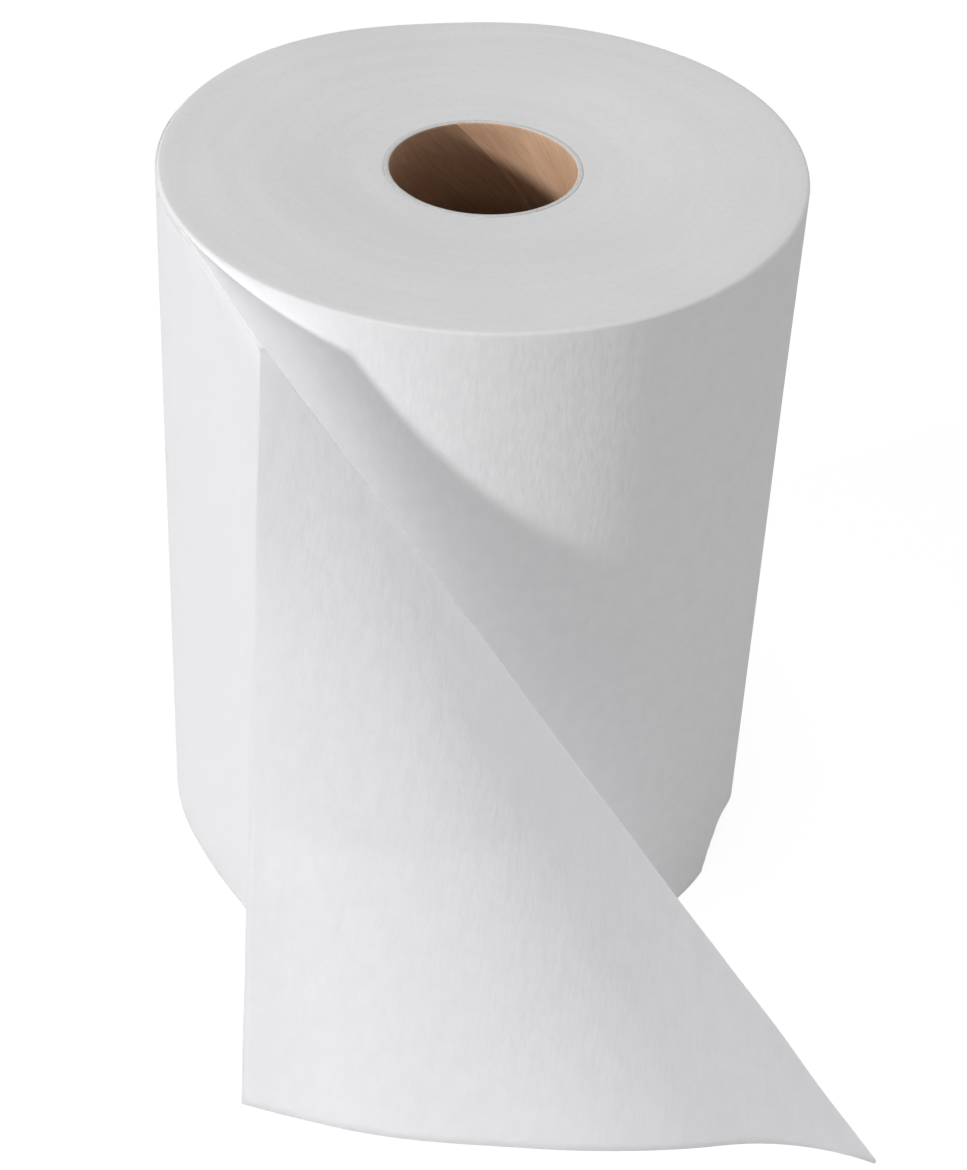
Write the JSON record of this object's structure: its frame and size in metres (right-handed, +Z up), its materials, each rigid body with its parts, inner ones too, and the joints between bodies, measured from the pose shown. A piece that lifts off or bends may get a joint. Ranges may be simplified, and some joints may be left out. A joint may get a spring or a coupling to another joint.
{
  "type": "paper towel roll",
  "caption": "White hard-wound paper towel roll on a cardboard core, standing on its end, with the loose end of the web pulled out and folded over in front.",
  "frame": {"origin": "on the axis of the core's bore, at the foot of the roll", "axes": "+Z up along the core's axis, -Y towards the side where the loose end lies"},
  "size_m": [0.1954, 0.2602, 0.203],
  "materials": {
    "paper": "matt white embossed towel paper",
    "core_board": "matt brown spiral-wound board"
  },
  "bodies": {
    "root": {"paper_web": "paper", "core_tube": "core_board"}
  },
  "joints": []
}
